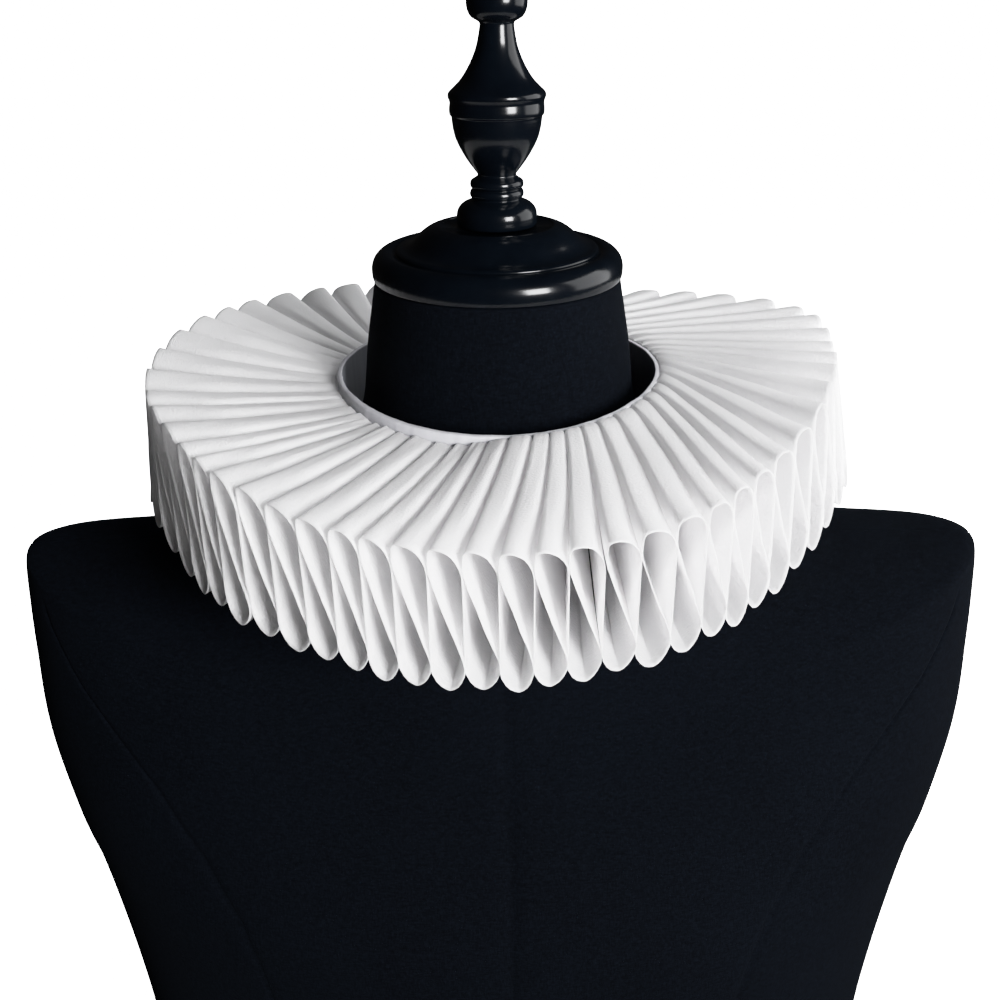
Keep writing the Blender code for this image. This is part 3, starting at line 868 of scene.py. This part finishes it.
# %% Mix the black cloth
def black_cloth():
    made, nodes, links = mix_nodes("black_cloth")
    shader = nodes["Principled BSDF"]
    where = nodes.new("ShaderNodeTexCoord")
    warp = stretched_noise(nodes, links, where.outputs["Object"], (1500.0, 1500.0, 420.0), 2.0)
    weft = stretched_noise(nodes, links, where.outputs["Object"], (420.0, 420.0, 1500.0), 2.0)
    weave = nodes.new("ShaderNodeMath")
    weave.operation = "MULTIPLY"
    links.new(warp, weave.inputs[0])
    links.new(weft, weave.inputs[1])
    shade = stretched_noise(nodes, links, where.outputs["Object"], (14.0, 14.0, 9.0), 3.0)
    tone = nodes.new("ShaderNodeMath")
    tone.operation = "MULTIPLY_ADD"
    links.new(weave.outputs["Value"], tone.inputs[0])
    tone.inputs[1].default_value = 1.6
    links.new(between(nodes, links, shade, -0.10, 0.30), tone.inputs[2])
    black = tinted(nodes, links, tone.outputs["Value"], (0.0005, 0.0008, 0.0015), (0.0016, 0.0025, 0.0043))
    links.new(black, shader.inputs["Base Color"])
    shader.inputs["Roughness"].default_value = 0.92
    shader.inputs["Specular IOR Level"].default_value = 0.03
    shader.inputs["Sheen Weight"].default_value = 0.005
    shader.inputs["Sheen Roughness"].default_value = 0.5
    shader.inputs["Sheen Tint"].default_value = (0.35, 0.45, 0.60, 1.0)
    links.new(bumped(nodes, links, weave.outputs["Value"], 0.5, 0.0002), shader.inputs["Normal"])
    return made


cover = black_cloth()
print("cover mixed with", len(cover.node_tree.nodes), "nodes")

# %% [markdown]
# ## The body of the form
#
# A tailor's form is lofted through oval sections, from the base up to the neck. Its cover is cut in
# panels, with a seam down the middle, one that curves from each side of the chest to the waist, and one
# at each side. So that the seams are crisp, columns of points are laid exactly along them, with closely
# set neighbours, and the seam is a shallow groove between them. A bump map could draw it too, but a real
# groove also catches the light. The curved seams end at the shoulder, under the ruff.

# %% Loft the body with its seams
BODY = (  # half width, height at the sides, depth in front and behind, height at the middle, squareness
    (0.1900, -0.4600, 0.1020, 0.0960, -0.4600, 2.20), (0.1919, -0.4250, 0.1050, 0.0970, -0.4250, 2.20),
    (0.1922, -0.3845, 0.1090, 0.0990, -0.3845, 2.20), (0.1925, -0.3370, 0.1140, 0.1000, -0.3370, 2.20),
    (0.1948, -0.2920, 0.1190, 0.1010, -0.2920, 2.20), (0.1986, -0.2500, 0.1230, 0.1020, -0.2540, 2.20),
    (0.2029, -0.2180, 0.1240, 0.1030, -0.2300, 2.20), (0.2086, -0.1950, 0.1220, 0.1030, -0.2120, 2.20),
    (0.2144, -0.1550, 0.1150, 0.1010, -0.1820, 2.20), (0.2148, -0.1200, 0.1050, 0.0947, -0.1578, 2.15),
    (0.2148, -0.1000, 0.0960, 0.0883, -0.1382, 2.10), (0.2147, -0.0850, 0.0880, 0.0817, -0.1237, 2.00),
    (0.2125, -0.0822, 0.0855, 0.0785, -0.1180, 2.00), (0.2058, -0.0815, 0.0830, 0.0758, -0.1130, 2.00),
    (0.1931, -0.0815, 0.0790, 0.0701, -0.1045, 2.00), (0.1680, -0.0812, 0.0755, 0.0682, -0.0953, 2.00),
    (0.1350, -0.0790, 0.0725, 0.0675, -0.0814, 2.00), (0.1000, -0.0620, 0.0700, 0.0670, -0.0670, 2.00),
    (0.0780, -0.0450, 0.0660, 0.0650, -0.0550, 2.00), (0.0680, -0.0360, 0.0625, 0.0630, -0.0435, 2.00),
    (0.0618, -0.0280, 0.0596, 0.0602, -0.0280, 2.00),
)
NECK = (
    (0.0615, -0.0276, 0.0593, 0.0599, -0.0276, 2.00), (0.0590, -0.0180, 0.0577, 0.0582, -0.0180, 2.00),
    (0.0567, -0.0080, 0.0563, 0.0567, -0.0080, 2.00), (0.0545, 0.0110, 0.0545, 0.0545, 0.0110, 2.00),
    (0.0515, 0.0290, 0.0515, 0.0515, 0.0290, 2.00), (0.0500, 0.0380, 0.0500, 0.0500, 0.0380, 2.00),
)
PANEL_SEAM = (  # row of the table above, angle between the side seam and the curved seam
    (0.0, 62.0), (5.0, 61.5), (7.0, 60.0), (7.8, 56.5), (8.5, 50.0), (9.0, 42.5),
    (9.5, 35.0), (10.4, 25.0), (11.5, 19.0), (13.0, 20.0), (20.0, 30.0),
)
BESIDE_SEAM = (0.0, 0.010, 0.022, 0.045)
SEAM_DEPTH = 0.0009
SEAM_HALF_ANGLE = 0.9
SEAMS_FADE_FROM = 10.4
MIDDLE_BACK = 90.0
MIDDLE_FRONT = 270.5
BODY_ROWS = 120
COLUMNS_A_PANEL = 22
NECK_ROWS = 30
NECK_COLUMNS = 192


def section_at(table, row):
    first = min(len(table) - 2, int(row))
    near = [table[min(len(table) - 1, max(0, i))] for i in range(first - 1, first + 3)]
    return curve_among(near, row - first)


def oval_point(section, turn, sink=0.0):
    half_width, side_height, front, back, middle_height, squareness = section
    across, along = math.cos(math.radians(turn)), math.sin(math.radians(turn))
    depth = (back if along > 0.0 else front) - sink
    x = (half_width - sink) * math.copysign(abs(across) ** (2.0 / squareness), across)
    y = depth * math.copysign(abs(along) ** (2.0 / squareness), along)
    share = min(1.0, abs(x) / half_width)
    return Vector((x, y, middle_height + (side_height - middle_height) * share * share))


def panel_seam(row):
    for (low, start), (high, end) in zip(PANEL_SEAM, PANEL_SEAM[1:]):
        if row <= high:
            return start + (end - start) * (row - low) / (high - low)
    return PANEL_SEAM[-1][1]


def seam_turns(row):
    lean = panel_seam(row)
    side = 180.0
    return (0.0, lean, MIDDLE_BACK, side - lean, side, side + lean, MIDDLE_FRONT, 360.0 - lean, 360.0)


def columns_with_seams(row):
    turns = seam_turns(row)
    curved_seams = turns[1:8:2]
    edge = BESIDE_SEAM[-1]
    middle = [edge + (1.0 - 2.0 * edge) * i / COLUMNS_A_PANEL for i in range(1, COLUMNS_A_PANEL)]
    shares = [*BESIDE_SEAM, *middle, *[1.0 - share for share in reversed(BESIDE_SEAM[1:])]]
    fading = max(0.0, 1.0 - (row - SEAMS_FADE_FROM) / 0.5)
    for start, end in zip(turns, turns[1:]):
        width = end - start
        for share in shares:
            from_seam = min(share, 1.0 - share) * width
            depth = SEAM_DEPTH * max(0.0, 1.0 - from_seam / SEAM_HALF_ANGLE)
            seam = start if share < 0.5 else end
            if row > SEAMS_FADE_FROM and seam in curved_seams:
                depth *= fading
            yield start + width * share, depth


def plain_columns(row):
    for index in range(NECK_COLUMNS):
        yield 360.0 * index / NECK_COLUMNS, 0.0


def loft(table, rows, columns):
    points, faces = [], []
    for step in range(rows + 1):
        row = (len(table) - 1) * step / rows
        section = section_at(table, row)
        ring = [oval_point(section, turn, depth) for turn, depth in columns(row)]
        points += ring
    size = len(ring)
    for row in range(rows):
        for step in range(size):
            ahead = (step + 1) % size
            first = row * size
            faces.append((first + step, first + ahead, first + size + ahead, first + size + step))
    faces.append(tuple(reversed(range(size))))
    faces.append(tuple(range(rows * size, rows * size + size)))
    return points, faces


body_mesh = loft(BODY, BODY_ROWS, columns_with_seams)
hang("form_body_cover", *body_mesh, cover, "form_body", "black_cloth")
neck_mesh = loft(NECK, NECK_ROWS, plain_columns)
hang("form_neck_cover", *neck_mesh, cover, "form_neck", "black_cloth")

# %% [markdown]
# ## Lacquered cap and finial
#
# The cap and the finial were turned on a lathe and lacquered black. Blender's Screw modifier would turn a
# profile, but here the profile is first smoothed and then turned in code, which keeps the small fillets
# round. Nobody screws a finial in quite straight, so it leans by half a degree. Lacquer is dark paint
# under a clear gloss. Its surface is not quite level, so a broad, faint noise in the bump breaks the
# highlights a little, and fine dust dulls them here and there.

# %% Turn the cap and the finial
CAP_ROLL = (  # radius, height above the band
    (0.0496, 0.0384), (0.0504, 0.0389), (0.0508, 0.0402), (0.0509, 0.0425), (0.0506, 0.0446),
    (0.0496, 0.0467), (0.0478, 0.0484), (0.0455, 0.0493), (0.0433, 0.0492), (0.0417, 0.0485),
)
CAP_DOME = (
    (0.0409, 0.0484), (0.0408, 0.0495), (0.0398, 0.0502), (0.0372, 0.0507), (0.0345, 0.0522),
    (0.0315, 0.0551), (0.0280, 0.0576), (0.0246, 0.0588), (0.0230, 0.0590), (0.0224, 0.0585),
)
FINIAL_FOOT = (
    (0.0140, 0.0588), (0.0154, 0.0589), (0.0159, 0.0596), (0.0160, 0.0612), (0.0160, 0.0634),
    (0.0154, 0.0654), (0.0136, 0.0674), (0.0106, 0.0688), (0.0098, 0.0694),
)
FINIAL_RINGS = (
    (0.0105, 0.0703), (0.0107, 0.0714), (0.0103, 0.0726), (0.0095, 0.0731), (0.0103, 0.0738),
    (0.0106, 0.0750), (0.0102, 0.0763), (0.0088, 0.0772), (0.0076, 0.0784),
)
FINIAL_VASE = (
    (0.0090, 0.0805), (0.0112, 0.0834), (0.0138, 0.0875), (0.0160, 0.0920), (0.0170, 0.0958),
    (0.0174, 0.0985), (0.0176, 0.1002), (0.0182, 0.1009), (0.0184, 0.1024), (0.0183, 0.1042),
    (0.0182, 0.1054), (0.0185, 0.1064), (0.0189, 0.1076), (0.0185, 0.1090),
)
FINIAL_NECK = (
    (0.0168, 0.1106), (0.0140, 0.1134), (0.0115, 0.1170), (0.0096, 0.1206), (0.0080, 0.1246),
    (0.0071, 0.1284), (0.0065, 0.1325),
)
FINIAL_KNOB = (
    (0.0072, 0.1336), (0.0096, 0.1350), (0.0110, 0.1372), (0.0115, 0.1402), (0.0110, 0.1434),
    (0.0092, 0.1464), (0.0056, 0.1486),
)
FINIAL_LEAN = 0.011


def lathe(profile, steps_between, steps_round, lean=0.0):
    line = []
    for place in range(len(profile) - 1):
        line += [section_at(profile, place + step / steps_between) for step in range(steps_between)]
    line.append(profile[-1])
    points = [(0.0, 0.0, line[0][1]), (0.0, 0.0, line[-1][1])]
    for radius, height in line:
        shift = lean * (height - line[0][1])
        for step in range(steps_round):
            turn = 2.0 * math.pi * step / steps_round
            points.append((radius * math.cos(turn) + shift, radius * math.sin(turn), height))
    faces = []
    for step in range(steps_round):
        ahead = (step + 1) % steps_round
        last = 2 + (len(line) - 1) * steps_round
        faces += [(0, 2 + ahead, 2 + step), (1, last + step, last + ahead)]
        for row in range(len(line) - 1):
            low = 2 + row * steps_round
            high = low + steps_round
            faces.append((low + step, low + ahead, high + ahead, high + step))
    return points, faces


def black_lacquer():
    made, nodes, links = mix_nodes("black_lacquer")
    shader = nodes["Principled BSDF"]
    where = nodes.new("ShaderNodeTexCoord")
    level = stretched_noise(nodes, links, where.outputs["Object"], (90.0, 90.0, 90.0), 3.0)
    dust = stretched_noise(nodes, links, where.outputs["Object"], (1400.0, 1400.0, 1400.0), 4.0)
    black = tinted(nodes, links, level, (0.0008, 0.0014, 0.0024), (0.0014, 0.0024, 0.0040))
    links.new(black, shader.inputs["Base Color"])
    links.new(between(nodes, links, dust, 0.14, 0.20), shader.inputs["Roughness"])
    shader.inputs["Specular IOR Level"].default_value = 0.30
    links.new(bumped(nodes, links, level, 0.12, 0.0003), shader.inputs["Normal"])
    return made


lacquer = black_lacquer()
cap_mesh = lathe(CAP_ROLL + CAP_DOME, steps_between=5, steps_round=128)
hang("neck_cap_lacquer", *cap_mesh, lacquer, "neck_cap", "black_lacquer")
finial_profile = FINIAL_FOOT + FINIAL_RINGS + FINIAL_VASE + FINIAL_NECK + FINIAL_KNOB
finial_mesh = lathe(finial_profile, steps_between=4, steps_round=96, lean=FINIAL_LEAN)
hang("finial_lacquer", *finial_mesh, lacquer, "finial", "black_lacquer")

# %% [markdown]
# ## Finish
#
# The dressed model must keep the size of its solids.

# %% Finish
print("the model is dressed")
